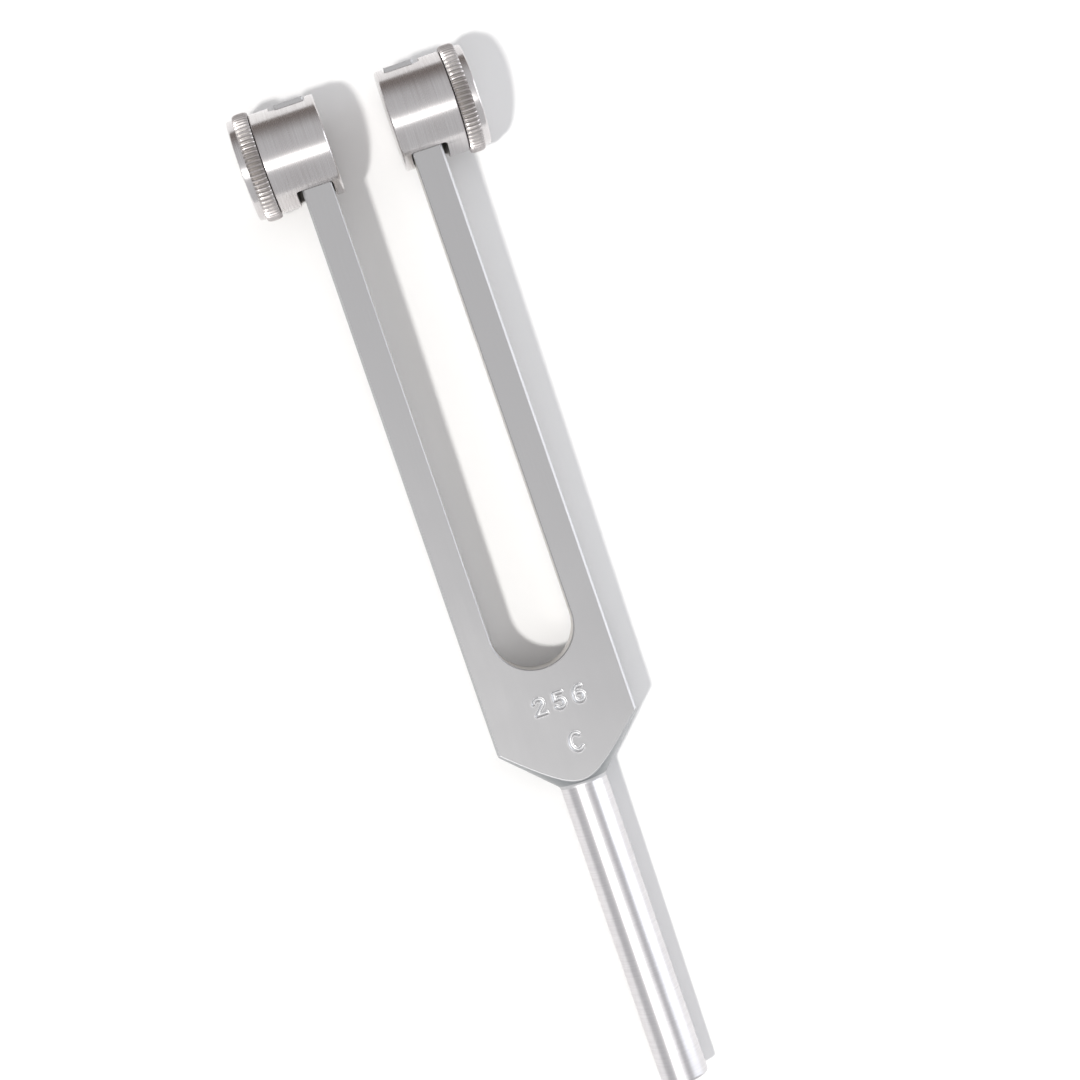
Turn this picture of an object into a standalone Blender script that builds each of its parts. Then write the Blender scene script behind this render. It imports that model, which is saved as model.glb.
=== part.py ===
"""A 256 Hz aluminium tuning fork with a clamp-on weight on each tine.

The fork lies flat: the origin is the centre of the stem's end face, +Y runs along the stem
towards the tines, +X runs across the tines and +Z is the normal of the fork's flat face.
"""
import math

import bmesh
import bpy
from mathutils import Vector

MM = 0.001

# Fork body: one piece of bar, turned at one end and slotted at the other.
STEM_DIAMETER = 8.0 * MM
STEM_LENGTH = 52.3 * MM
STEM_END_ROUND = 0.5 * MM
SHOULDER_FILLET = 1.0 * MM
SHOULDER_ANGLE = math.radians(45.0)
PLATE_WIDTH = 24.0 * MM
PLATE_THICKNESS = 9.0 * MM
PLATE_CHAMFER = 0.35 * MM
YOKE_LENGTH = 19.9 * MM        # from the end of the stem to the bottom of the slot
TINE_THICKNESS = 5.0 * MM
TINE_LENGTH = 101.0 * MM       # from the bottom of the slot to the tips

# Clamp-on weights: a slotted cylinder that slides on a tine.
WEIGHT_DIAMETER = 16.8 * MM
WEIGHT_FROM_TIP = 7.8 * MM     # from the tine's tip to the weight's axis
WEIGHT_INNER_WALL = 1.45 * MM
WEIGHT_OUTER_WALL = 3.4 * MM
WEIGHT_END_CHAMFER = 0.4 * MM
TINE_FIT = 0.25 * MM           # between a weight's slot and the tine's sides
CLAMP_SPACE = 1.0 * MM         # between the tine's outer side and the slot's outer wall
SLOT_CORNER = 0.5 * MM

# Clamp screws and the pads on their ends.
SCREW_DIAMETER = 5.6 * MM
SCREW_FIT = 0.3 * MM           # round the screw, and between its parts and their neighbours
SCREW_TIP_CHAMFER = 0.4 * MM
HEAD_GAP = 0.25 * MM           # between the tightened head and the weight
HEAD_FACE_DIAMETER = 15.8 * MM
KNURL_DIAMETER = 18.2 * MM
KNURL_WIDTH = 2.5 * MM
KNURL_CROWN = 0.4 * MM         # how far the ring's rounded edges drop below its crest
KNURL_DEPTH = 0.3 * MM
KNURL_RIDGES = 72
RIM_DIAMETER = 16.8 * MM
RIM_WIDTH = 1.05 * MM
RIM_CHAMFER = 0.3 * MM
PAD_STEP = 0.3 * MM            # how much smaller the pad is than the screw, all round
PAD_THICKNESS = 1.0 * MM
PAD_CHAMFER = 0.2 * MM

# How finely the round shapes are divided.
STEM_SIDES = 64
SLOT_SIDES = 32
WEIGHT_SIDES = 72
BORE_SIDES = 48
PLAIN_SIDES = KNURL_RIDGES * 2 // 3
ROUND_STEPS = 4

# Places that follow from the sizes above.
SLOT_BOTTOM_Y = STEM_LENGTH + YOKE_LENGTH
TIP_Y = SLOT_BOTTOM_Y + TINE_LENGTH
WEIGHT_Y = TIP_Y - WEIGHT_FROM_TIP
TINE_INNER_X = PLATE_WIDTH / 2 - TINE_THICKNESS
TINE_OUTER_X = PLATE_WIDTH / 2
WEIGHT_SLOT_X = (TINE_INNER_X - TINE_FIT, TINE_OUTER_X + CLAMP_SPACE)
WEIGHT_X = (WEIGHT_SLOT_X[0] - WEIGHT_INNER_WALL, WEIGHT_SLOT_X[1] + WEIGHT_OUTER_WALL)
BORE_DIAMETER = SCREW_DIAMETER + 2 * SCREW_FIT
PAD_DIAMETER = SCREW_DIAMETER - 2 * PAD_STEP
PAD_X = (TINE_OUTER_X + SCREW_FIT, TINE_OUTER_X + SCREW_FIT + PAD_THICKNESS)
SCREW_TIP_X = PAD_X[1] + SCREW_FIT
HEAD_X = WEIGHT_X[1] + HEAD_GAP
CUT_MARGIN = 2.0 * MM          # how far a cutter reaches past what it cuts


def clear_scene():
    """Remove every object that the file opened with."""
    for found in list(bpy.data.objects):
        bpy.data.objects.remove(found, do_unlink=True)


def metal(name, colour, roughness):
    """A bare metal finish."""
    finish = bpy.data.materials.new(name)
    finish.use_nodes = True
    shader = finish.node_tree.nodes["Principled BSDF"]
    shader.inputs["Base Color"].default_value = (*colour, 1.0)
    shader.inputs["Metallic"].default_value = 1.0
    shader.inputs["Roughness"].default_value = roughness
    return finish


def new_object(name, mesh, finish=None, parent=None):
    """Link a mesh into the scene, shaded smooth between its sharp edges."""
    mesh.shade_smooth()
    mesh.set_sharp_from_angle(angle=math.radians(30.0))
    made = bpy.data.objects.new(name, mesh)
    bpy.context.scene.collection.objects.link(made)
    made.parent = parent
    if finish and not mesh.materials:
        mesh.materials.append(finish)
    return made


def finished_mesh(name, shape):
    """Turn a closed bmesh into a mesh whose faces point out."""
    bmesh.ops.recalc_face_normals(shape, faces=shape.faces)
    mesh = bpy.data.meshes.new(name)
    shape.to_mesh(mesh)
    shape.free()
    return mesh


def bridge(shape, inner, outer):
    """Join two rings of points with faces; the outer ring may have a multiple of the points."""
    if len(inner) > len(outer):
        inner, outer = outer, inner
    share = len(outer) // len(inner)
    for index, point in enumerate(inner):
        following = inner[(index + 1) % len(inner)]
        fan = [outer[(index * share + step) % len(outer)] for step in range(share + 1)]
        middle = share // 2
        for step in range(share):
            if step < middle:
                shape.faces.new((point, fan[step], fan[step + 1]))
            elif step == middle:
                shape.faces.new((point, fan[step], fan[step + 1], following))
            else:
                shape.faces.new((following, fan[step], fan[step + 1]))


def turned(name, rings, axis):
    """Make a turned solid about "X" or "Y" from rings of (place, radius, sides, depth).

    A ring with a depth is fluted: its points stand at the radius and below it in turn.
    """
    shape = bmesh.new()
    loops = []
    for place, radius, sides, depth in rings:
        loop = []
        for index in range(sides):
            angle = math.tau * index / sides
            reach = radius - (depth if index % 2 else 0.0)
            across, up = reach * math.sin(angle), reach * math.cos(angle)
            point = (place, across, up) if axis == "X" else (across, place, up)
            loop.append(shape.verts.new(point))
        loops.append(loop)
    for first, second in zip(loops, loops[1:]):
        bridge(shape, first, second)
    shape.faces.new(loops[0])
    shape.faces.new(loops[-1])
    return finished_mesh(name, shape)


def extruded(name, outline, low, high, place):
    """Extrude an outline of 2-D points from low to high; place(u, v, along) gives each point."""
    shape = bmesh.new()
    ends = [[shape.verts.new(place(u, v, along)) for u, v in outline] for along in (low, high)]
    bridge(shape, ends[0], ends[1])
    shape.faces.new(ends[0])
    shape.faces.new(ends[1])
    return finished_mesh(name, shape)


def arc(centre, radius, start, end, steps):
    """Points on an arc, with both of its ends."""
    points = []
    for index in range(steps + 1):
        angle = math.radians(start + (end - start) * index / steps)
        points.append((centre[0] + radius * math.cos(angle), centre[1] + radius * math.sin(angle)))
    return points


def rounded_rectangle(low, high, radius, steps):
    """A rectangle's outline with rounded corners, from its two opposite corners."""
    points = []
    corners = (
        (high[0] - radius, high[1] - radius, 0),
        (low[0] + radius, high[1] - radius, 90),
        (low[0] + radius, low[1] + radius, 180),
        (high[0] - radius, low[1] + radius, 270),
    )
    for across, up, start in corners:
        points += arc((across, up), radius, start, start + 90, steps)
    return points


def combine(target, tool_mesh, operation):
    """Cut, or keep what is common, with a hidden tool."""
    tool = new_object(f"{target.name}_{operation.lower()}_{len(target.modifiers)}", tool_mesh)
    tool.parent = target.parent
    tool.hide_render = True
    tool.display_type = "WIRE"
    step = target.modifiers.new(tool.name, "BOOLEAN")
    step.operation = operation
    step.object = tool
    step.solver = "EXACT"


def turned_envelope():
    """Stem, fillet and 45 degree shoulder as turned, reaching past the plate's corners."""
    radius = STEM_DIAMETER / 2
    rings = []
    for across, along in arc((radius - STEM_END_ROUND, STEM_END_ROUND), STEM_END_ROUND, -90, 0, ROUND_STEPS):
        rings.append((along, across, STEM_SIDES, 0.0))
    # The fillet's arc touches the stem and the shoulder, so it starts this far before the corner.
    setback = SHOULDER_FILLET * math.tan(SHOULDER_ANGLE / 2)
    centre = (radius + SHOULDER_FILLET, STEM_LENGTH - setback)
    turn = math.degrees(SHOULDER_ANGLE)
    for across, along in arc(centre, SHOULDER_FILLET, 180, 180 - turn, ROUND_STEPS):
        rings.append((along, across, STEM_SIDES, 0.0))
    clear_radius = math.hypot(PLATE_WIDTH, PLATE_THICKNESS) / 2 + CUT_MARGIN
    shoulder_end = STEM_LENGTH + (clear_radius - radius) / math.tan(SHOULDER_ANGLE)
    rings.append((shoulder_end, clear_radius, STEM_SIDES, 0.0))
    rings.append((TIP_Y, clear_radius, STEM_SIDES, 0.0))
    return turned("turned_envelope", rings, "Y")


def slot_cutter():
    """The slot between the tines, with its half-round bottom."""
    radius = TINE_INNER_X
    outline = arc((0.0, SLOT_BOTTOM_Y + radius), radius, 180, 360, SLOT_SIDES)
    outline += [(radius, TIP_Y + CUT_MARGIN), (-radius, TIP_Y + CUT_MARGIN)]
    depth = PLATE_THICKNESS / 2 + CUT_MARGIN
    return extruded("slot_cutter", outline, -depth, depth, lambda u, v, along: (u, v, along))


def make_fork_body(finish):
    """Chamfered bar, turned down to the stem and slotted into two tines."""
    corner = (PLATE_WIDTH / 2, PLATE_THICKNESS / 2)
    section = rounded_rectangle((-corner[0], -corner[1]), corner, PLATE_CHAMFER, 1)
    bar = extruded(
        "fork_body", section, -CUT_MARGIN, TIP_Y + CUT_MARGIN, lambda u, v, along: (u, along, v)
    )
    fork = new_object("fork_body", bar, finish)
    combine(fork, turned_envelope(), "INTERSECT")
    combine(fork, slot_cutter(), "DIFFERENCE")


def make_weight_body(side, parent, mesh, finish):
    """Slotted cylinder that slides on a tine, bored across for its screw."""
    weight = new_object(f"{side}_weight_body", mesh, finish, parent)
    reach = WEIGHT_DIAMETER / 2 + CUT_MARGIN
    depth = PLATE_THICKNESS / 2 + TINE_FIT
    section = rounded_rectangle(
        (WEIGHT_SLOT_X[0], -depth), (WEIGHT_SLOT_X[1], depth), SLOT_CORNER, ROUND_STEPS
    )
    slot = extruded("weight_slot", section, -reach, reach, lambda u, v, along: (u, along, v))
    combine(weight, slot, "DIFFERENCE")
    bore_start = (WEIGHT_SLOT_X[0] + WEIGHT_SLOT_X[1]) / 2
    bore = [
        (bore_start, BORE_DIAMETER / 2, BORE_SIDES, 0.0),
        (WEIGHT_X[1] + CUT_MARGIN, BORE_DIAMETER / 2, BORE_SIDES, 0.0),
    ]
    combine(weight, turned("screw_bore", bore, "X"), "DIFFERENCE")


def weight_blank():
    """The weight's cylinder with both ends chamfered."""
    radius = WEIGHT_DIAMETER / 2
    rings = [
        (WEIGHT_X[0], radius - WEIGHT_END_CHAMFER, WEIGHT_SIDES, 0.0),
        (WEIGHT_X[0] + WEIGHT_END_CHAMFER, radius, WEIGHT_SIDES, 0.0),
        (WEIGHT_X[1] - WEIGHT_END_CHAMFER, radius, WEIGHT_SIDES, 0.0),
        (WEIGHT_X[1], radius - WEIGHT_END_CHAMFER, WEIGHT_SIDES, 0.0),
    ]
    return turned("weight_body", rings, "X")


def screw_mesh():
    """Thumb screw: plain shank, crowned ring with a straight knurl, and a plain rim outside it."""
    shank = SCREW_DIAMETER / 2
    crest = KNURL_DIAMETER / 2
    rim = RIM_DIAMETER / 2
    rim_x = HEAD_X + KNURL_WIDTH
    rings = [
        (SCREW_TIP_X, shank - SCREW_TIP_CHAMFER, PLAIN_SIDES, 0.0),
        (SCREW_TIP_X + SCREW_TIP_CHAMFER, shank, PLAIN_SIDES, 0.0),
        (HEAD_X, shank, PLAIN_SIDES, 0.0),
        (HEAD_X, HEAD_FACE_DIAMETER / 2, PLAIN_SIDES, 0.0),
    ]
    for share in (0.0, 0.16, 0.84, 1.0):
        drop = KNURL_CROWN if share in (0.0, 1.0) else 0.0
        rings.append((HEAD_X + KNURL_WIDTH * share, crest - drop, KNURL_RIDGES * 2, KNURL_DEPTH))
    rings += [
        (rim_x, rim, PLAIN_SIDES, 0.0),
        (rim_x + RIM_WIDTH - RIM_CHAMFER, rim, PLAIN_SIDES, 0.0),
        (rim_x + RIM_WIDTH, rim - RIM_CHAMFER, PLAIN_SIDES, 0.0),
    ]
    return turned("clamp_screw", rings, "X")


def pad_mesh():
    """Small round pad that turns on the screw's end and bears on the tine."""
    radius = PAD_DIAMETER / 2
    rings = [
        (PAD_X[0], radius - PAD_CHAMFER, PLAIN_SIDES, 0.0),
        (PAD_X[0] + PAD_CHAMFER, radius, PLAIN_SIDES, 0.0),
        (PAD_X[1], radius, PLAIN_SIDES, 0.0),
    ]
    return turned("pressure_pad", rings, "X")


def make_weights():
    """Both weight sets: the left one is the right one turned half round."""
    weight_finish = metal("turned_aluminium", (0.62, 0.61, 0.62), 0.30)
    screw_finish = metal("knurled_aluminium", (0.55, 0.53, 0.53), 0.35)
    pad_finish = metal("pad_brass", (0.72, 0.55, 0.26), 0.40)
    screw = screw_mesh()
    pad = pad_mesh()
    for side, turn in (("right", 0.0), ("left", math.pi)):
        axis = bpy.data.objects.new(f"{side}_weight_axis", None)
        bpy.context.scene.collection.objects.link(axis)
        axis.location = Vector((0.0, WEIGHT_Y, 0.0))
        axis.rotation_euler = (0.0, 0.0, turn)
        make_weight_body(side, axis, weight_blank(), weight_finish)
        new_object(f"{side}_clamp_screw", screw, screw_finish, axis)
        new_object(f"{side}_pressure_pad", pad, pad_finish, axis)


def main():
    """Build the fork and its two clamp-on weights."""
    clear_scene()
    make_fork_body(metal("brushed_aluminium", (0.60, 0.59, 0.60), 0.35))
    make_weights()


if __name__ == "__main__":
    main()
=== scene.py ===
"""Finished look of a 256 Hz aluminium tuning fork with a clamp-on weight on each tine.

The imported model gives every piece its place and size. This script makes the fine meshes and the
metal finishes that stand for its solids, and a plain studio round them. Lengths are in metres.
"""
from __future__ import annotations

import enum
import logging
import math
from dataclasses import dataclass
from typing import Callable, Iterable, Mapping, Sequence

import bmesh
import bpy
import numpy as np
from mathutils import Matrix, Vector


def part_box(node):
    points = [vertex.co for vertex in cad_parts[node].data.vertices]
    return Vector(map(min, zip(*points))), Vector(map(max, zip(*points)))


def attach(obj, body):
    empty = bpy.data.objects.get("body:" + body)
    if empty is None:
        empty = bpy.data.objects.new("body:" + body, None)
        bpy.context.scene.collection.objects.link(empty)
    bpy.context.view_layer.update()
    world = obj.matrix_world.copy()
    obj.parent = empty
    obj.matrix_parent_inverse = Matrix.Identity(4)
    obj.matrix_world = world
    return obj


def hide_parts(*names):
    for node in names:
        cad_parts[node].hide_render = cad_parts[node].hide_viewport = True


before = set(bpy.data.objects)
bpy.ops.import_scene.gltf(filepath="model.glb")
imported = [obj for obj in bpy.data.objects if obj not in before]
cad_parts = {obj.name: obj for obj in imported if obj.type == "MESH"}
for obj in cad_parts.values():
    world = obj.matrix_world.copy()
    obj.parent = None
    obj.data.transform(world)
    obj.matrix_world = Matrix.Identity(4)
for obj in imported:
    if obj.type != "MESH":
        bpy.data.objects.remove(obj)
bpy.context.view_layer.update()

log = logging.getLogger("tuning_fork")

MM = 0.001
# Turned profiles start and end this close to their axis.
NEAR_AXIS = 0.01 * MM
Point2 = tuple[float, float]
Placer = Callable[[float, float, float], tuple[float, float, float]]


class Side(enum.Enum):
    """Which tine a weight sits on: its name, and the half turn that puts it there."""

    RIGHT = ("right", 0.0)
    LEFT = ("left", math.pi)

    @property
    def label(self) -> str:
        """The word that begins the side's names."""
        return self.value[0]

    @property
    def turn(self) -> float:
        """The turn about +Z from the right-hand weight, in radians."""
        return self.value[1]


class Grain(enum.Enum):
    """How a surface was cut, which sets the direction of its marks."""

    ALONG_Y = "ground along the fork"
    ROUND_X = "turned about X"
    ROUND_Y = "turned about Y"
    MILLED = "cut by the side of an end mill"


# ---- Small geometry tools ----


def rounded(corners: Sequence[tuple[float, float, float]], steps: int, closed: bool) -> list[Point2]:
    """Round the corners of an outline.

    Args:
        corners: (u, v, radius) of each corner; a radius of 0 keeps it sharp.
        steps: straight pieces in each rounding.
        closed: whether the last corner joins the first.

    Returns:
        The outline's points.
    """
    points: list[Point2] = []
    count = len(corners)
    for index, (u, v, radius) in enumerate(corners):
        at_end = not closed and index in (0, count - 1)
        if radius <= 0.0 or at_end:
            points.append((u, v))
            continue
        here = Vector((u, v))
        before = (Vector(corners[index - 1][:2]) - here).normalized()
        after = (Vector(corners[(index + 1) % count][:2]) - here).normalized()
        half = before.angle(after) / 2
        setback = radius / math.tan(half)
        centre = here + (before + after).normalized() * (radius / math.sin(half))
        first = here + before * setback - centre
        sweep = first.angle_signed(here + after * setback - centre)
        for step in range(steps + 1):
            turn = -sweep * step / steps
            arm = Matrix.Rotation(turn, 2) @ first
            points.append(tuple(centre + arm))
    return points


def mesh_from(name: str, shape: bmesh.types.BMesh) -> bpy.types.Mesh:
    """Turn a bmesh into a mesh whose faces point out, and free it.

    Args:
        name: the mesh's name.
        shape: the bmesh, freed here.

    Returns:
        The mesh.
    """
    bmesh.ops.recalc_face_normals(shape, faces=shape.faces)
    mesh = bpy.data.meshes.new(name)
    shape.to_mesh(mesh)
    shape.free()
    return mesh


def turned_mesh(
    name: str,
    profile: Sequence[Point2],
    sides: int,
    place: Placer,
    reach: Callable[[int, float, float], float] | None = None,
) -> bpy.types.Mesh:
    """Make a closed turned solid.

    Args:
        name: the mesh's name.
        profile: (along, radius) points from one end to the other.
        sides: points round the axis.
        place: gives a point from (along, across, up).
        reach: changes a radius, from the profile's index, the angle and the radius.

    Returns:
        The mesh.
    """
    shape = bmesh.new()
    rings = []
    for row, (along, radius) in enumerate(profile):
        ring = []
        for index in range(sides):
            angle = math.tau * index / sides
            out = reach(row, angle, radius) if reach else radius
            ring.append(shape.verts.new(place(along, out * math.sin(angle), out * math.cos(angle))))
        rings.append(ring)
    for first, second in zip(rings, rings[1:]):
        for index in range(sides):
            after = (index + 1) % sides
            shape.faces.new((first[index], first[after], second[after], second[index]))
    shape.faces.new(rings[0])
    shape.faces.new(rings[-1])
    return mesh_from(name, shape)


def extruded_mesh(
    name: str, outline: Sequence[Point2], low: float, high: float, place: Placer
) -> bpy.types.Mesh:
    """Extrude an outline into a closed solid.

    Args:
        name: the mesh's name.
        outline: the (u, v) points of the outline.
        low: where the extrusion starts.
        high: where it ends.
        place: gives a point from (u, v, along).

    Returns:
        The mesh.
    """
    shape = bmesh.new()
    ends = [[shape.verts.new(place(u, v, along)) for u, v in outline] for along in (low, high)]
    count = len(outline)
    for index in range(count):
        after = (index + 1) % count
        shape.faces.new((ends[0][index], ends[0][after], ends[1][after], ends[1][index]))
    shape.faces.new(ends[0])
    shape.faces.new(ends[1])
    return mesh_from(name, shape)


def link(name: str, mesh: bpy.types.Mesh) -> bpy.types.Object:
    """Put a mesh into the scene.

    Args:
        name: the object's name.
        mesh: its mesh.

    Returns:
        The object.
    """
    made = bpy.data.objects.new(name, mesh)
    bpy.context.scene.collection.objects.link(made)
    return made


def combined(
    name: str, base: bpy.types.Mesh, tools: Iterable[tuple[bpy.types.Mesh, str]]
) -> bpy.types.Mesh:
    """Apply exact Booleans to a mesh.

    Args:
        name: the result's name.
        base: the mesh to start from.
        tools: (mesh, operation) pairs in order.

    Returns:
        The combined mesh.
    """
    target = link(f"{name}_blank", base)
    cutters = []
    for mesh, operation in tools:
        cutter = link(f"{name}_{mesh.name}", mesh)
        step = target.modifiers.new(cutter.name, "BOOLEAN")
        step.operation = operation
        step.object = cutter
        step.solver = "EXACT"
        cutters.append(cutter)
    bpy.context.view_layer.update()
    evaluated = target.evaluated_get(bpy.context.evaluated_depsgraph_get())
    result = bpy.data.meshes.new_from_object(evaluated)
    result.name = name
    for spent in (target, *cutters):
        bpy.data.objects.remove(spent, do_unlink=True)
    return result


def break_edges(
    shape: bmesh.types.BMesh,
    chosen: Callable[[bmesh.types.BMEdge], bool],
    width: float,
    segments: int,
) -> None:
    """Bevel the edges that a test chooses, as a file breaks them.

    Args:
        shape: the solid, changed in place.
        chosen: tells whether an edge is broken.
        width: the bevel's offset.
        segments: faces across the bevel.
    """
    shape.normal_update()
    edges = [edge for edge in shape.edges if len(edge.link_faces) == 2 and chosen(edge)]
    bmesh.ops.bevel(
        shape, geom=edges, offset=width, segments=segments, profile=0.5,
        affect="EDGES", clamp_overlap=True,
    )


def smooth_piece(piece: bpy.types.Object, sharp_degrees: float) -> None:
    """Shade a piece smooth between its sharp edges, flats staying flat beside their bevels.

    Args:
        piece: the piece.
        sharp_degrees: the angle past which an edge stays sharp.
    """
    piece.data.shade_smooth()
    piece.data.set_sharp_from_angle(angle=math.radians(sharp_degrees))
    weighted = piece.modifiers.new("weighted_normals", "WEIGHTED_NORMAL")
    weighted.mode = "FACE_AREA"
    weighted.keep_sharp = True


# ---- Finishes ----


def linear(srgb_hex: str) -> tuple[float, float, float, float]:
    """Turn an sRGB hex colour into linear light.

    Args:
        srgb_hex: six hex digits.

    Returns:
        Linear red, green and blue, and full alpha.
    """
    values = []
    for start in (0, 2, 4):
        share = int(srgb_hex[start:start + 2], 16) / 255
        values.append(share / 12.92 if share <= 0.04045 else ((share + 0.055) / 1.055) ** 2.4)
    return (values[0], values[1], values[2], 1.0)


def add_node(
    tree: bpy.types.NodeTree,
    kind: str,
    settings: Mapping[str, object] | None = None,
    inputs: Mapping[str | int, object] | None = None,
) -> bpy.types.Node:
    """Add a shader node.

    Args:
        tree: the material's nodes.
        kind: the node's type.
        settings: the node's own properties.
        inputs: a value, or an output socket to link, for each named or numbered input.

    Returns:
        The node.
    """
    node = tree.nodes.new(kind)
    for key, value in (settings or {}).items():
        setattr(node, key, value)
    for key, value in (inputs or {}).items():
        if isinstance(value, bpy.types.NodeSocket):
            tree.links.new(value, node.inputs[key])
        else:
            node.inputs[key].default_value = value
    return node


def mixed_colour(
    tree: bpy.types.NodeTree, share: bpy.types.NodeSocket, first: str, second: str
) -> bpy.types.NodeSocket:
    """Blend two sRGB hex colours.

    Args:
        tree: the material's nodes.
        share: 0 for the first colour and 1 for the second.
        first: the first colour.
        second: the second colour.

    Returns:
        The blended colour's socket.
    """
    node = add_node(tree, "ShaderNodeMix", {"data_type": "RGBA"}, {0: share})
    node.inputs[6].default_value = linear(first)
    node.inputs[7].default_value = linear(second)
    return node.outputs[2]


def spread(
    tree: bpy.types.NodeTree, value: bpy.types.NodeSocket, low: float, high: float
) -> bpy.types.NodeSocket:
    """Map a 0 to 1 value onto another range.

    Args:
        tree: the material's nodes.
        value: the value's socket.
        low: what 0 becomes.
        high: what 1 becomes.

    Returns:
        The mapped value's socket.
    """
    node = add_node(
        tree, "ShaderNodeMapRange", None, {"Value": value, "To Min": low, "To Max": high}
    )
    return node.outputs["Result"]


# Handling dulls the metal in soft patches about this big, and they count this much.
PATCH_SIZE = 9 * MM
PATCH_SHARE = 0.35
# The part of the noise's range that is spread over a finish's two colours.
CONTRAST = (0.30, 0.70)
# How fast the marks change round an axis, for each radian.
ANGLE_SCALE = 0.35


@dataclass(frozen=True)
class BareMetal:
    """A bare cut metal surface, with the fine parallel marks that its tool left.

    Attributes:
        name: the finish's name.
        light: sRGB hex of the clean metal.
        dark: sRGB hex in its marks and where it is dulled.
        grain: how it was cut.
        mark_spacing: distance between the coarser marks.
        mark_length: how far one mark runs before it fades.
        roughness: least and most roughness.
        relief: height of the marks.
        anisotropy: how much the marks spread a highlight across themselves.
    """

    name: str
    light: str
    dark: str
    grain: Grain
    mark_spacing: float
    mark_length: float
    roughness: tuple[float, float]
    relief: float
    anisotropy: float

    def _mark_place(self, tree: bpy.types.NodeTree) -> bpy.types.NodeSocket:
        """Make coordinates that change fast across the marks and slowly along them.

        Args:
            tree: the material's nodes.

        Returns:
            The coordinates' socket.
        """
        texture = add_node(tree, "ShaderNodeTexCoord")
        parts = add_node(tree, "ShaderNodeSeparateXYZ", None, {0: texture.outputs["Object"]})
        x, y, z = parts.outputs
        fast = 1.0 / self.mark_spacing
        slow = 1.0 / self.mark_length
        if self.grain in (Grain.ALONG_Y, Grain.MILLED):
            scale = (fast, slow, fast) if self.grain is Grain.ALONG_Y else (slow, slow, fast)
            node = add_node(
                tree, "ShaderNodeVectorMath", {"operation": "MULTIPLY"},
                {0: texture.outputs["Object"], 1: scale},
            )
            return node.outputs["Vector"]
        along, across = (x, y) if self.grain is Grain.ROUND_X else (y, x)
        flat = add_node(tree, "ShaderNodeCombineXYZ", None, {"X": across, "Y": z})
        radius = add_node(tree, "ShaderNodeVectorMath", {"operation": "LENGTH"}, {0: flat.outputs[0]})
        turn = add_node(tree, "ShaderNodeMath", {"operation": "ARCTAN2"}, {0: across, 1: z})
        place = add_node(
            tree, "ShaderNodeCombineXYZ", None,
            {"X": along, "Y": radius.outputs["Value"], "Z": turn.outputs[0]},
        )
        node = add_node(
            tree, "ShaderNodeVectorMath", {"operation": "MULTIPLY"},
            {0: place.outputs[0], 1: (fast, fast, ANGLE_SCALE)},
        )
        return node.outputs["Vector"]

    def material(self) -> bpy.types.Material:
        """Build the finish.

        Returns:
            A new material.
        """
        made = bpy.data.materials.new(self.name)
        made.use_nodes = True
        tree = made.node_tree
        shader = tree.nodes["Principled BSDF"]
        marks = add_node(
            tree, "ShaderNodeTexNoise", {"noise_dimensions": "3D"},
            {"Vector": self._mark_place(tree), "Scale": 1.0, "Detail": 5.0, "Roughness": 0.65},
        )
        texture = add_node(tree, "ShaderNodeTexCoord")
        patches = add_node(
            tree, "ShaderNodeTexNoise", None,
            {"Vector": texture.outputs["Object"], "Scale": 1.0 / PATCH_SIZE, "Detail": 3.0},
        )
        both = add_node(
            tree, "ShaderNodeMix", {"data_type": "FLOAT"},
            {0: PATCH_SHARE, 2: marks.outputs["Fac"], 3: patches.outputs["Fac"]},
        )
        contrast = add_node(
            tree, "ShaderNodeMapRange", None,
            {"Value": both.outputs[0], "From Min": CONTRAST[0], "From Max": CONTRAST[1]},
        )
        share = contrast.outputs["Result"]
        tree.links.new(mixed_colour(tree, share, self.dark, self.light), shader.inputs["Base Color"])
        tree.links.new(
            spread(tree, share, self.roughness[1], self.roughness[0]), shader.inputs["Roughness"]
        )
        bump = add_node(
            tree, "ShaderNodeBump", None,
            {"Height": marks.outputs["Fac"], "Strength": 1.0, "Distance": self.relief},
        )
        tree.links.new(bump.outputs["Normal"], shader.inputs["Normal"])
        shader.inputs["Metallic"].default_value = 1.0
        shader.inputs["Anisotropic"].default_value = self.anisotropy
        if self.grain in (Grain.ROUND_X, Grain.ROUND_Y):
            axis = "X" if self.grain is Grain.ROUND_X else "Y"
            tangent = add_node(tree, "ShaderNodeTangent", {"direction_type": "RADIAL", "axis": axis})
            tree.links.new(tangent.outputs[0], shader.inputs["Tangent"])
            # A quarter turn: the marks run round the axis, so they spread light along it.
            shader.inputs["Anisotropic Rotation"].default_value = 0.25
        return made


# Aluminium bar ground lengthwise on a belt: soft grey flats with fine lines along the fork.
GROUND_ALUMINIUM = BareMetal(
    "ground_aluminium", "DAD9D9", "D4D3D3", Grain.ALONG_Y, 0.12 * MM, 14 * MM,
    (0.18, 0.23), 0.0004 * MM, 0.0,
)
# Turned and polished aluminium: tight bright lines of light along the stem, faint rings.
POLISHED_ALUMINIUM = BareMetal(
    "polished_turned_aluminium", "E2E0E1", "CCCACC", Grain.ROUND_Y, 0.22 * MM, 1.0,
    (0.27, 0.35), 0.0010 * MM, 0.3,
)
# The shoulder: turned aluminium a little rougher than the stem, its colour painted a darker grey as
# painted shade for the dim surroundings that its 45 degree cone reflects.
SHADED_SHOULDER_ALUMINIUM = BareMetal(
    "shoulder_aluminium_painted_shade", "999C9E", "888B8D", Grain.ROUND_Y, 0.22 * MM, 1.0,
    (0.30, 0.38), 0.0010 * MM, 0.3,
)
# The walls left by an end mill: duller, with lines that run through the plate.
MILLED_ALUMINIUM = BareMetal(
    "milled_aluminium", "D8D5D2", "C0BCB8", Grain.MILLED, 0.35 * MM, 6 * MM,
    (0.36, 0.50), 0.002 * MM, 0.0,
)
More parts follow.
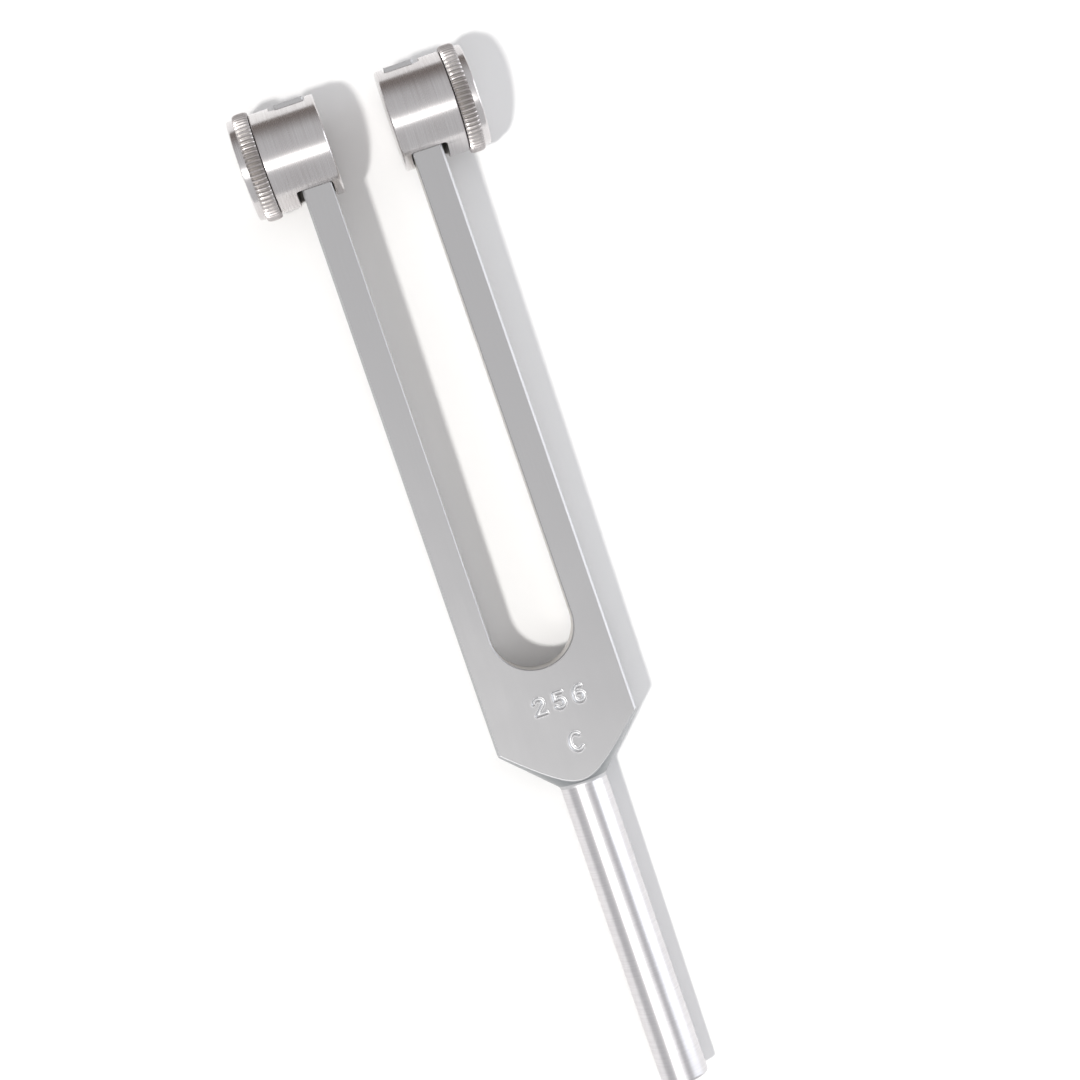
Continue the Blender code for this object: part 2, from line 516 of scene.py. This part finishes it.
# Edges broken with a fine file, and the walls of the punched marks: softer than the flats.
FILED_ALUMINIUM = BareMetal(
    "filed_aluminium", "CFCFD0", "C2C2C3", Grain.ALONG_Y, 0.20 * MM, 6 * MM,
    (0.48, 0.54), 0.0006 * MM, 0.0,
)
# Weights finished on the lathe: rings round them that show as fine streaks in the highlight.
TURNED_ALUMINIUM = BareMetal(
    "turned_aluminium", "E6E4E4", "C8C3C2", Grain.ROUND_X, 0.16 * MM, 1.0,
    (0.20, 0.32), 0.0015 * MM, 0.7,
)
# The knurling tool bruises the metal, so the ridges are a little duller than turned faces.
KNURLED_ALUMINIUM = BareMetal(
    "knurled_aluminium", "DCD8D7", "B9B2B0", Grain.ROUND_X, 0.10 * MM, 1.0,
    (0.24, 0.34), 0.0010 * MM, 0.0,
)
# Painted shade: the bottoms of the flutes are painted darker than the ridges, for the shade that falls in
# them.
KNURL_FLUTE_SHADE = BareMetal(
    "knurl_flute_painted_shade", "B5B1AE", "9C9895", Grain.ROUND_X, 0.10 * MM, 1.0,
    (0.42, 0.55), 0.0010 * MM, 0.0,
)
# Turned brass: yellow, left as it came off the tool.
TURNED_BRASS = BareMetal(
    "turned_brass", "D9B872", "B08C48", Grain.ROUND_X, 0.12 * MM, 1.0,
    (0.25, 0.38), 0.0015 * MM, 0.0,
)


def dress(mesh: bpy.types.Mesh, metals: Sequence[BareMetal]) -> None:
    """Give a mesh its finishes.

    Args:
        mesh: the mesh.
        metals: its finishes, in the order of its faces' indices.
    """
    for metal in metals:
        mesh.materials.append(metal.material())


# ---- The fork ----


@dataclass(frozen=True)
class Stroke:
    """One stroke of a stamped mark: (along X, along Y) points in units of the mark's height."""

    points: tuple[Point2, ...]


def arc_points(
    centre: Point2, radii: Point2, start: float, end: float, steps: int = 14
) -> tuple[Point2, ...]:
    """Place points on an elliptical arc.

    Args:
        centre: the ellipse's centre.
        radii: its half width and half height.
        start: the first point's angle in degrees.
        end: the last point's angle in degrees.
        steps: straight pieces in the arc.

    Returns:
        The arc's points.
    """
    points = []
    for index in range(steps + 1):
        angle = math.radians(start + (end - start) * index / steps)
        points.append(
            (centre[0] + radii[0] * math.cos(angle), centre[1] + radii[1] * math.sin(angle))
        )
    return tuple(points)


# Plain single-stroke figures, one unit tall, centred on the origin.
PUNCHES: dict[str, tuple[Stroke, ...]] = {
    "2": (
        Stroke(arc_points((0.0, 0.22), (0.30, 0.28), 165, -35) + ((-0.30, -0.5), (0.32, -0.5))),
    ),
    "5": (
        Stroke(
            ((0.27, 0.5), (-0.22, 0.5), (-0.26, 0.07))
            + arc_points((-0.01, -0.19), (0.31, 0.31), 118, -150)
        ),
    ),
    "6": (
        Stroke(
            arc_points((0.10, 0.02), (0.40, 0.48), 70, 180, 10)
            + arc_points((0.0, -0.20), (0.30, 0.30), 180, 540, 24)
        ),
    ),
    "C": (Stroke(arc_points((0.03, 0.0), (0.38, 0.5), 48, 312, 22)),),
}


@dataclass(frozen=True)
class StampedLine:
    """A row of punched figures: its text, its middle on the plate, its height and its pitch."""

    text: str
    middle: Point2
    height: float
    pitch: float
    breadth: float = 1.05

    def segments(self) -> list[tuple[Point2, Point2]]:
        """Break the line's strokes into straight pieces, in place on the plate.

        Returns:
            The two ends of each piece.
        """
        pieces = []
        for index, figure in enumerate(self.text):
            shift = (index - (len(self.text) - 1) / 2) * self.pitch
            for stroke in PUNCHES[figure]:
                placed = [
                    (
                        self.middle[0] + shift + self.breadth * u * self.height,
                        self.middle[1] + v * self.height,
                    )
                    for u, v in stroke.points
                ]
                pieces += list(zip(placed, placed[1:]))
        return pieces


class ForkFinish(enum.Enum):
    """The fork's finishes, by their place in its list of materials."""

    GROUND = 0
    TURNED = 1
    MILLED = 2
    FILED = 3
    SHOULDER = 4


FORK_METALS = (
    GROUND_ALUMINIUM, POLISHED_ALUMINIUM, MILLED_ALUMINIUM, FILED_ALUMINIUM, SHADED_SHOULDER_ALUMINIUM,
)
# The Y part of the shoulder's normals lies between these, about the -0.71 of 45 degrees.
SHOULDER_LEAN = (-0.8, -0.6)
# A face is a wall when its normal's Z part is under the first, and flat when it is over the second.
WALL_LEAN, FLAT_LEAN = 0.10, 0.995


@dataclass
class ForkBody:
    """The one-piece fork: turned stem and shoulder, yoke, and two tines."""

    stem_diameter: float = 8.0 * MM
    stem_length: float = 52.3 * MM
    stem_end_round: float = 0.5 * MM
    shoulder_fillet: float = 1.0 * MM
    fillet_reach: float = 0.4 * MM
    plate_chamfer: float = 0.35 * MM
    yoke_length: float = 19.9 * MM
    tine_thickness: float = 5.0 * MM
    shoulder_edge_break: float = 0.45 * MM
    slot_edge_break: float = 0.20 * MM
    punch_depth: float = 0.16 * MM
    punch_half_width: float = 0.34 * MM
    punch_lip: float = 0.010 * MM
    lip_place: float = 1.25
    lip_width: float = 0.30
    punch_cells: int = 150
    sides: int = 192
    slot_steps: int = 64

    def __post_init__(self) -> None:
        """Take the plate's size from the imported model."""
        low, high = (Vector(corner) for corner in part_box("fork_body"))
        self.tip = high.y
        self.half_width = high.x
        self.half_thickness = high.z
        self.slot_bottom = self.stem_length + self.yoke_length
        self.slot_radius = self.half_width - self.tine_thickness

    def marks(self) -> tuple[StampedLine, ...]:
        """Lay out the pitch: the note's frequency, with its letter below.

        Returns:
            The two stamped lines.
        """
        return (
            StampedLine("256", (0.5 * MM, self.slot_bottom - 5.85 * MM), 2.5 * MM, 3.4 * MM),
            StampedLine("C", (0.95 * MM, self.slot_bottom - 13.15 * MM), 2.85 * MM, 3.4 * MM, 0.95),
        )

    def _envelope(self) -> bpy.types.Mesh:
        """Turn the stem, fillet and 45 degree shoulder, reaching past the plate's corners.

        Returns:
            The turned solid that the bar is cut to.
        """
        radius = self.stem_diameter / 2
        clear = math.hypot(self.half_width, self.half_thickness) + 2 * MM
        profile = rounded(
            (
                (0.0, NEAR_AXIS, 0.0),
                (0.0, radius, self.stem_end_round),
                (self.stem_length, radius, self.shoulder_fillet),
                (self.stem_length + clear - radius, clear, 0.0),
                (self.tip, clear, 0.0),
            ),
            6,
            closed=False,
        )
        return turned_mesh(
            "envelope", profile, self.sides, lambda along, across, up: (across, along, up)
        )

    def _bar(self) -> bpy.types.Mesh:
        """Make the bar stock with its long edges chamfered.

        Returns:
            The bar, longer than the fork at both ends.
        """
        width, height, cut = self.half_width, self.half_thickness, self.plate_chamfer
        outline = []
        for sx, sy, order in ((1, 1, 0), (-1, 1, 1), (-1, -1, 0), (1, -1, 1)):
            pair = [(sx * width, sy * (height - cut)), (sx * (width - cut), sy * height)]
            outline += reversed(pair) if order else pair
        return extruded_mesh(
            "bar", outline, -2 * MM, self.tip + 2 * MM, lambda u, v, along: (u, along, v)
        )

    def _slot(self) -> bpy.types.Mesh:
        """Make the cutter for the slot between the tines, with its half-round bottom.

        Returns:
            The cutter.
        """
        radius = self.slot_radius
        centre = (0.0, self.slot_bottom + radius)
        outline = list(arc_points(centre, (radius, radius), 180, 360, self.slot_steps))
        outline += [(radius, self.tip + 3 * MM), (-radius, self.tip + 3 * MM)]
        depth = self.half_thickness + 2 * MM
        return extruded_mesh("slot", outline, -depth, depth, lambda u, v, along: (u, v, along))

    def _on_shoulder(self, normal: Vector, middle: Vector) -> bool:
        """Whether a face with this normal and middle is part of the 45 degree shoulder."""
        leans = SHOULDER_LEAN[0] < normal.y < SHOULDER_LEAN[1]
        return leans and self.stem_length - 0.5 * MM < middle.y < self.slot_bottom

    def _shoulder_edge(self, edge: bmesh.types.BMEdge) -> bool:
        """Tell whether an edge lies between the shoulder and the plate's own faces.

        Args:
            edge: an edge with two faces.

        Returns:
            True on the curved line where the shoulder meets the flats.
        """
        on = [self._on_shoulder(face.normal, face.calc_center_median()) for face in edge.link_faces]
        flat = [abs(face.normal.y) < 0.01 for face in edge.link_faces]
        return (on[0] and flat[1]) or (on[1] and flat[0])

    def _slot_edge(self, edge: bmesh.types.BMEdge) -> bool:
        """Tell whether an edge runs round the slot's mouth or a tine's tip.

        Args:
            edge: an edge with two faces.

        Returns:
            True on those edges.
        """
        faces = edge.link_faces
        flats = [abs(face.normal.z) > 0.99 for face in faces]
        if flats[0] == flats[1]:
            return False
        wall = faces[1] if flats[0] else faces[0]
        middle = wall.calc_center_median()
        in_slot = abs(middle.x) < self.slot_radius + 0.1 * MM and middle.y > self.slot_bottom - 1 * MM
        at_tip = wall.normal.y > 0.99
        return abs(wall.normal.z) < 0.01 and (in_slot or at_tip)

    def _punched_field(self) -> tuple[Point2, Point2]:
        """The low and high corners of the part of the front face that holds the marks."""
        reach = 5.9 * MM
        return (-reach, self.slot_bottom - 15.75 * MM), (reach, self.slot_bottom - 3.7 * MM)

    def _front_face(self, shape: bmesh.types.BMesh, point: Vector) -> bmesh.types.BMFace:
        """Find the face of the front plane that a point lies on.

        Args:
            shape: the fork.
            point: a point of the front plane.

        Returns:
            The face.
        """
        return next(
            face for face in shape.faces
            if face.normal.z > 0.999
            and abs(face.calc_center_median().z - self.half_thickness) < 0.01 * MM
            and bmesh.geometry.intersect_face_point(face, point)
        )

    def _front_grid(self, shape: bmesh.types.BMesh) -> list[bmesh.types.BMVert]:
        """Cut a fine grid into the part of the front face that holds the marks.

        Args:
            shape: the fork.

        Returns:
            The grid's vertices, without its four corners.
        """
        low, high = self._punched_field()
        middle = Vector(((low[0] + high[0]) / 2, (low[1] + high[1]) / 2, self.half_thickness))
        for place, normal in (
            ((low[0], 0, 0), (1, 0, 0)),
            ((high[0], 0, 0), (1, 0, 0)),
            ((0, low[1], 0), (0, 1, 0)),
            ((0, high[1], 0), (0, 1, 0)),
        ):
            face = self._front_face(shape, middle)
            geometry = [face, *face.edges, *face.verts]
            bmesh.ops.bisect_plane(shape, geom=geometry, plane_co=place, plane_no=normal)
            shape.normal_update()
        field = self._front_face(shape, middle)
        corners = set(field.verts)
        bmesh.ops.subdivide_edges(
            shape, edges=list(field.edges), cuts=self.punch_cells, use_grid_fill=True
        )
        near = 0.0001 * MM
        return [
            vert for vert in shape.verts
            if low[0] - near < vert.co.x < high[0] + near
            and low[1] - near < vert.co.y < high[1] + near
            and abs(vert.co.z - self.half_thickness) < 0.001 * MM
            and vert not in corners
        ]

    def _from_strokes(self, places: np.ndarray) -> np.ndarray:
        """Measure how far points of the front face are from the nearest stroke.

        Args:
            places: (x, y) of each point.

        Returns:
            Each point's distance.
        """
        nearest = np.full(len(places), 1.0)
        for line in self.marks():
            for start, end in line.segments():
                first, last = np.array(start), np.array(end)
                span = last - first
                share = np.clip((places - first) @ span / (span @ span), 0.0, 1.0)
                gap = np.linalg.norm(places - (first + share[:, None] * span), axis=1)
                nearest = np.minimum(nearest, gap)
        return nearest

    def _punch(self, shape: bmesh.types.BMesh) -> None:
        """Stamp the pitch into the front of the yoke, with the lip that a punch throws up.

        Args:
            shape: the fork, changed in place.
        """
        grid = self._front_grid(shape)
        nearest = self._from_strokes(np.array([vert.co[:2] for vert in grid]))
        half = self.punch_half_width
        # A worn punch leaves a round-bottomed groove.
        groove = self.punch_depth * np.clip(1.0 - (nearest / half) ** 2, 0.0, 1.0)
        from_lip = (nearest - self.lip_place * half) / (self.lip_width * half)
        lip = self.punch_lip * np.exp(-(from_lip ** 2))
        lip[nearest < half] = 0.0
        for vert, down, up in zip(grid, groove, lip):
            vert.co.z += float(up - down)

    def _surface(self, face: bpy.types.MeshPolygon) -> ForkFinish:
        """Tell which finish a face has.

        Args:
            face: a face of the finished fork.

        Returns:
            The face's finish.
        """
        normal, middle = face.normal, face.center
        if middle.y < self.stem_length - self.fillet_reach:
            return ForkFinish.TURNED
        # The shoulder takes the finish that is painted darker as shade.
        if self._on_shoulder(normal, middle):
            return ForkFinish.SHOULDER
        in_slot = abs(middle.x) < self.slot_radius + 0.01 * MM and middle.y > self.slot_bottom - 0.01 * MM
        if in_slot and abs(normal.z) < WALL_LEAN:
            return ForkFinish.MILLED
        if WALL_LEAN < abs(normal.z) < FLAT_LEAN:
            return ForkFinish.FILED
        return ForkFinish.GROUND

    def build(self) -> bpy.types.Object:
        """Make the fork and dress it.

        Returns:
            The finished piece.
        """
        mesh = combined(
            "fork", self._bar(), ((self._envelope(), "INTERSECT"), (self._slot(), "DIFFERENCE"))
        )
        shape = bmesh.new()
        shape.from_mesh(mesh)
        break_edges(shape, self._shoulder_edge, self.shoulder_edge_break, 3)
        break_edges(shape, self._slot_edge, self.slot_edge_break, 1)
        self._punch(shape)
        shape.to_mesh(mesh)
        shape.free()
        dress(mesh, FORK_METALS)
        for face in mesh.polygons:
            face.material_index = self._surface(face).value
        piece = link("tuning_fork", mesh)
        smooth_piece(piece, 24.0)
        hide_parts("fork_body")
        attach(piece, "fork")
        return piece


# ---- The weights ----


@dataclass
class ClampWeight:
    """One clamp-on weight: slotted cylinder, knurled thumb screw and the pad on its end.

    The meshes are made for the right-hand weight, about its own centre on the fork's middle
    plane, and the left-hand one is turned half round.
    """

    side: Side
    body_diameter: float = 16.8 * MM
    end_round: float = 0.4 * MM
    slot_inner: float = 6.75 * MM
    slot_outer: float = 13.0 * MM
    slot_half_depth: float = 4.75 * MM
    slot_corner: float = 0.5 * MM
    slot_edge_break: float = 0.10 * MM
    bore_diameter: float = 6.2 * MM
    countersink: float = 0.15 * MM
    thread_diameter: float = 5.9 * MM
    thread_depth: float = 0.55 * MM
    thread_pitch: float = 1.0 * MM
    thread_steps: int = 16
    crest_gain: float = 1.15
    point_drop: float = 0.25 * MM
    point_rise: float = 0.6 * MM
    point_length: float = 0.4 * MM
    shank_sides: int = 64
    shank_overlap: float = 0.5 * MM
    knurl_width: float = 2.5 * MM
    knurl_diameter: float = 18.2 * MM
    knurl_crown: float = 0.25 * MM
    knurl_depth: float = 0.42 * MM
    knurl_ridges: int = 72
    knurl_floor: float = 7.81 * MM
    ridge_steps: int = 8
    crown_steps: int = 10
    flank_slope: float = 1.5
    flank_start: float = 0.25
    # How far either side of a flute's bottom, as a share of one ridge, the painted shade reaches.
    flute_shade_share: float = 0.2
    face_rings: Point2 = (7.6 * MM, 7.9 * MM)
    head_gap: float = 0.12 * MM
    rim_diameter: float = 16.8 * MM
    rim_round: float = 0.3 * MM
    rim_step: float = 0.35 * MM
    rim_lead: float = 0.02 * MM
    sides: int = 192

    def __post_init__(self) -> None:
        """Take the pieces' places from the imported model."""
        self.boxes = {
            name: [Vector(corner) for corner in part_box(f"{self.side.label}_{name}")]
            for name in ("weight_body", "clamp_screw", "pressure_pad")
        }
        low, high = self.boxes["weight_body"]
        self.axis_y = (low.y + high.y) / 2

    def _span(self, name: str) -> Point2:
        """Measure how far out a piece starts and ends from the fork's middle plane.

        Args:
            name: the piece's CAD name without its side.

        Returns:
            The near and far distances.
        """
        low, high = self.boxes[name]
        near, far = sorted((abs(low.x), abs(high.x)))
        return near, far

    @staticmethod
    def _place(along: float, across: float, up: float) -> tuple[float, float, float]:
        """A turned point of a piece whose axis is X."""
        return (along, across, up)

    def _finish(self, name: str, mesh: bpy.types.Mesh, node: str, body: str) -> bpy.types.Object:
        """Place a dressed piece on its side and join it to its body.

        Args:
            name: the piece's name without its side.
            mesh: its mesh, about the weight's axis.
            node: the CAD node it stands for, without its side.
            body: the body it rides on, without its side.

        Returns:
            The finished piece.
        """
        piece = link(f"{self.side.label}_{name}", mesh)
        piece.location = (0.0, self.axis_y, 0.0)
        piece.rotation_euler = (0.0, 0.0, self.side.turn)
        bpy.context.view_layer.update()
        smooth_piece(piece, 30.0)
        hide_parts(f"{self.side.label}_{node}")
        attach(piece, f"{self.side.label}_{body}")
        return piece

    def _blank(self, near: float, far: float) -> bpy.types.Mesh:
        """Turn the cylinder, its ends rounded over.

        Args:
            near: how far out its inner end is.
            far: how far out its outer end is.

        Returns:
            The cylinder before its slot is cut.
        """
        radius = self.body_diameter / 2
        profile = rounded(
            (
                (near, NEAR_AXIS, 0.0),
                (near, radius, self.end_round),
                (far, radius, self.end_round / 2),
                (far, NEAR_AXIS, 0.0),
            ),
            5,
            closed=False,
        )
        return turned_mesh("cylinder", profile, self.sides, self._place)

    def _slot_cutter(self) -> bpy.types.Mesh:
        """Make the cutter for the rectangular way that the tine goes through.

        Returns:
            The cutter.
        """
        depth, corner = self.slot_half_depth, self.slot_corner
        outline = rounded(
            (
                (self.slot_inner, -depth, corner),
                (self.slot_outer, -depth, corner),
                (self.slot_outer, depth, corner),
                (self.slot_inner, depth, corner),
            ),
            5,
            closed=True,
        )
        reach = self.body_diameter
        return extruded_mesh("way", outline, -reach, reach, lambda u, v, along: (u, along, v))

    def _bore_cutter(self, far: float) -> bpy.types.Mesh:
        """Make the cutter for the screw's hole, with a countersunk mouth.

        Args:
            far: how far out the cylinder's outer end is.

        Returns:
            The cutter.
        """
        radius = self.bore_diameter / 2
        middle = (self.slot_inner + self.slot_outer) / 2
        sink = self.countersink
        profile = [(middle, radius), (far - sink, radius), (far + sink, radius + 2 * sink)]
        return turned_mesh("bore", profile, self.sides // 2, self._place)

    def _slot_mouth(self, edge: bmesh.types.BMEdge) -> bool:
        """Tell whether an edge lies where the slot breaks the round surface.

        Args:
            edge: an edge with two faces.

        Returns:
            True on the slot's mouths.
        """
        radius = self.body_diameter / 2
        on_round = all(math.hypot(v.co.y, v.co.z) > radius - 0.02 * MM for v in edge.verts)
        return on_round and edge.calc_face_angle(0.0) > math.radians(20.0)

    def cylinder(self) -> bpy.types.Object:
        """Make the slotted cylinder.

        Returns:
            The finished piece.
        """
        near, far = self._span("weight_body")
        mesh = combined(
            "weight_cylinder",
            self._blank(near, far),
            ((self._slot_cutter(), "DIFFERENCE"), (self._bore_cutter(far), "DIFFERENCE")),
        )
        shape = bmesh.new()
        shape.from_mesh(mesh)
        break_edges(shape, self._slot_mouth, self.slot_edge_break, 2)
        shape.to_mesh(mesh)
        shape.free()
        dress(mesh, (TURNED_ALUMINIUM, MILLED_ALUMINIUM))
        radius = self.body_diameter / 2
        for face in mesh.polygons:
            middle = face.center
            within = self.slot_inner - 1e-6 < middle.x < self.slot_outer + 1e-6
            face.material_index = int(within and math.hypot(middle.y, middle.z) < radius - 0.05 * MM)
        return self._finish("weight_cylinder", mesh, "weight_body", "weight")

    def _head_reach(self, rows: range) -> Callable[[int, float, float], float]:
        """Shape the flutes of the straight knurl.

        Args:
            rows: the profile points that lie on the ring.

        Returns:
            A function that gives the radius at a profile point and an angle.
        """

        def reach(row: int, angle: float, radius: float) -> float:
            """Cut the flutes into a ring of points.

            Args:
                row: the profile point.
                angle: the angle round the axis.
                radius: the crest's radius there.

            Returns:
                The radius.
            """
            if row not in rows:
                return radius
            phase = (angle / math.tau * self.knurl_ridges) % 1.0
            valley = 1.0 - abs(2.0 * phase - 1.0)
            # A ridge keeps a narrow flat top, and its flanks fall straight to a narrow valley.
            share = min(1.0, max(0.0, self.flank_slope * valley - self.flank_start))
            return radius - self.knurl_depth * share

        return reach

    def _head(self, near: float, far: float) -> bpy.types.Mesh:
        """Make the knurled ring and plain rim.

        Args:
            near: how far out the head's inner face is.
            far: how far out its outer face is.

        Returns:
            The head.
        """
        crest, rim = self.knurl_diameter / 2, self.rim_diameter / 2
        ring_end = near + self.knurl_width
        rows = self.crown_steps
        profile: list[Point2] = [(near, radius) for radius in (NEAR_AXIS, *self.face_rings)]
        first = len(profile)
        for step in range(rows + 1):
            along = 2.0 * step / rows - 1.0
            drop = self.knurl_crown * abs(along) ** 4
            profile.append((near + self.knurl_width * step / rows, crest - drop))
        last = len(profile)
        profile += rounded(
            (
                (ring_end, rim - self.rim_step, 0.0),
                (ring_end + self.rim_lead, rim, 0.0),
                (far, rim, self.rim_round),
                (far, NEAR_AXIS, 0.0),
            ),
            5,
            closed=False,
        )
        return turned_mesh(
            "head", profile, self.knurl_ridges * self.ridge_steps, self._place,
            self._head_reach(range(first, last)),
        )

    def _shank(self, near: float, far: float) -> bpy.types.Mesh:
        """Make the right-hand threaded shank, from its tip to just inside the head.

        Args:
            near: how far out the shank's tip is.
            far: how far out it ends.

        Returns:
            The shank.
        """
        crest = self.thread_diameter / 2
        root = crest - self.thread_depth
        rows = max(2, round((far - near) / self.thread_pitch * self.thread_steps))
        profile = [(near + (far - near) * row / rows, crest) for row in range(rows + 1)]

        def reach(row: int, angle: float, radius: float) -> float:
            """Cut a V-shaped thread that starts from a plain point.

            Args:
                row: the profile point.
                angle: the angle round the axis.
                radius: the plain shank's radius.

            Returns:
                The radius, never above the plain shank's.
            """
            along = profile[row][0]
            turn = (along / self.thread_pitch + angle / math.tau) % 1.0
            height = abs(2.0 * turn - 1.0)
            thread = root + (crest - root) * min(1.0, self.crest_gain * height)
            from_tip = (along - near) / self.point_length
            return min(thread, root - self.point_drop + self.point_rise * from_tip, radius)

        return turned_mesh("shank", profile, self.shank_sides, self._place, reach)

    def _head_surface(self, face: bpy.types.MeshPolygon, head_near: float) -> int:
        """Which finish a face of the screw has.

        Args:
            face: the face, about the weight's axis.
            head_near: where the head's inner face is.

        Returns:
            0 for turned metal, 1 for the knurl, 2 for the bottoms of its flutes, which carry painted
            shade.
        """
        middle = face.center
        on_ring = head_near - 1e-6 < middle.x < head_near + self.knurl_width + 1e-6
        if not on_ring or math.hypot(middle.y, middle.z) < self.knurl_floor:
            return 0
        phase = (math.atan2(middle.y, middle.z) / math.tau * self.knurl_ridges) % 1.0
        # Faces near a flute's bottom take the finish with painted shade.
        in_flute = abs(phase - 0.5) < self.flute_shade_share and abs(face.normal.x) < 0.5
        return 2 if in_flute else 1

    def thumb_screw(self) -> bpy.types.Object:
        """Make the thumb screw: threaded shank, knurled ring and plain rim.

        Returns:
            The finished piece.
        """
        near, far = self._span("clamp_screw")
        head_near = self._span("weight_body")[1] + self.head_gap
        mesh = combined(
            "thumb_screw",
            self._head(head_near, far),
            ((self._shank(near, head_near + self.shank_overlap), "UNION"),),
        )
        # The third finish is the painted shade in the flutes' bottoms.
        dress(mesh, (TURNED_ALUMINIUM, KNURLED_ALUMINIUM, KNURL_FLUTE_SHADE))
        for face in mesh.polygons:
            face.material_index = self._head_surface(face, head_near)
        return self._finish("thumb_screw", mesh, "clamp_screw", "screw")

    def swivel_pad(self) -> bpy.types.Object:
        """Make the small brass pad between the screw and the tine.

        Returns:
            The finished piece.
        """
        near, far = self._span("pressure_pad")
        low, high = self.boxes["pressure_pad"]
        radius = (high.z - low.z) / 2
        profile = rounded(
            (
                (near, NEAR_AXIS, 0.0),
                (near, radius, 0.25 * MM),
                (far, radius, 0.10 * MM),
                (far, 0.6 * radius, 0.0),
                (far - 0.15 * MM, NEAR_AXIS, 0.0),
            ),
            4,
            closed=False,
        )
        mesh = turned_mesh("swivel_pad", profile, 96, self._place)
        dress(mesh, (TURNED_BRASS,))
        return self._finish("swivel_pad", mesh, "pressure_pad", "pad")

    def build(self) -> list[bpy.types.Object]:
        """Make the weight's three pieces."""
        return [self.cylinder(), self.thumb_screw(), self.swivel_pad()]


# ---- Studio ----


@dataclass
class Studio:
    """Pale table, soft lights and the camera."""

    camera_place: tuple[float, float, float] = (-0.0036, 0.0944, 0.3297)
    camera_aim: tuple[float, float, float] = (0.0061, 0.0921, 0.0045)
    camera_roll: float = math.radians(-19.05)
    lens: float = 66.4
    table_size: float = 4.0
    table_gap: float = 0.05 * MM
    stem_radius: float = 4.0 * MM

    def table(self) -> None:
        """Lay a white table under the stem's end and both knurled rings."""
        low, high = (Vector(corner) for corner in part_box("right_clamp_screw"))
        slope = math.asin((high.z - self.stem_radius) / ((low.y + high.y) / 2))
        shape = bmesh.new()
        bmesh.ops.create_grid(shape, x_segments=8, y_segments=8, size=self.table_size / 2)
        mesh = mesh_from("table", shape)
        table = link("table", mesh)
        table.location = (0.0, 0.0, -self.stem_radius - self.table_gap)
        table.rotation_euler = (-slope, 0.0, 0.0)
        white = bpy.data.materials.new("white_laminate")
        white.use_nodes = True
        tree = white.node_tree
        shader = tree.nodes["Principled BSDF"]
        texture = add_node(tree, "ShaderNodeTexCoord")
        mottle = add_node(
            tree, "ShaderNodeTexNoise", None,
            {"Vector": texture.outputs["Object"], "Scale": 1.0 / (60 * MM), "Detail": 2.0},
        )
        tree.links.new(
            mixed_colour(tree, mottle.outputs["Fac"], "F4F3F2", "F8F8F7"), shader.inputs["Base Color"]
        )
        shader.inputs["Roughness"].default_value = 0.75
        mesh.materials.append(white)

    def _panel(
        self, name: str, place: tuple[float, float, float], size: Point2, radiance: float,
        colour: str = "FFFFFF",
    ) -> None:
        """Hang a rectangular soft light that faces the fork's middle.

        Args:
            name: the light's name.
            place: where it hangs.
            size: its width and height.
            radiance: how bright its surface looks.
            colour: its sRGB hex colour.
        """
        data = bpy.data.lights.new(name, "AREA")
        data.shape = "RECTANGLE"
        data.size, data.size_y = size
        data.energy = radiance * math.pi * size[0] * size[1]
        data.color = linear(colour)[:3]
        lamp = bpy.data.objects.new(name, data)
        bpy.context.scene.collection.objects.link(lamp)
        aim = Vector((0.0, 0.09, 0.0))
        lamp.location = place
        lamp.rotation_euler = (aim - Vector(place)).to_track_quat("-Z", "Y").to_euler()

    def lights(self) -> None:
        """Key from over the left shoulder, a strip, a wall of light at the right, and the pale room."""
        self._panel("key", (-0.42, -0.12, 1.0), (0.07, 0.07), 480.0, "FFFEFC")
        self._panel("strip", (0.0, -0.34, 1.2), (0.50, 0.20), 1.6)
        self._panel("right_wall", (1.3, 0.1, 0.45), (0.9, 1.6), 2.2, "F4F8FF")
        world = bpy.data.worlds.new("studio")
        world.use_nodes = True
        tree = world.node_tree
        direction = add_node(tree, "ShaderNodeTexCoord")
        # 1 overhead and on the near side, 0 low down beyond the tips, where the room is dim.
        toward = add_node(
            tree, "ShaderNodeVectorMath", {"operation": "DOT_PRODUCT"},
            {0: direction.outputs["Generated"], 1: (0.0, -0.80, 0.60)},
        )
        share = add_node(
            tree, "ShaderNodeMapRange", {"interpolation_type": "SMOOTHSTEP"},
            {"Value": toward.outputs["Value"], "From Min": -0.72, "From Max": 0.05},
        )
        shade = tree.nodes["Background"]
        tree.links.new(
            mixed_colour(tree, share.outputs["Result"], "8E8581", "E8E8EA"), shade.inputs["Color"]
        )
        shade.inputs["Strength"].default_value = 0.75
        bpy.context.scene.world = world

    def camera(self) -> None:
        """The camera over the fork, turned so that the tines point up and to the left."""
        data = bpy.data.cameras.new("camera")
        data.type = "PERSP"
        data.lens = self.lens
        data.sensor_width = 36.0
        data.clip_start = 0.01
        camera = bpy.data.objects.new("camera", data)
        bpy.context.scene.collection.objects.link(camera)
        place = Vector(self.camera_place)
        back = (place - Vector(self.camera_aim)).normalized()
        right = Vector((0.0, 1.0, 0.0)).cross(back).normalized()
        up = back.cross(right)
        turn = Matrix((right, up, back)).transposed() @ Matrix.Rotation(self.camera_roll, 3, "Z")
        camera.matrix_world = Matrix.Translation(place) @ turn.to_4x4()
        bpy.context.scene.camera = camera

    def build(self) -> None:
        """Set the whole studio up."""
        self.table()
        self.lights()
        self.camera()
        bpy.context.scene.view_settings.view_transform = "Standard"


def main() -> None:
    """Build every piece in order."""
    logging.basicConfig(level=logging.INFO, format="%(name)s: %(message)s")
    Studio().build()
    pieces = [ForkBody().build()]
    for side in Side:
        pieces += ClampWeight(side).build()
    for piece in pieces:
        log.info("%s: %d faces", piece.name, len(piece.data.polygons))


if __name__ == "__main__":
    main()
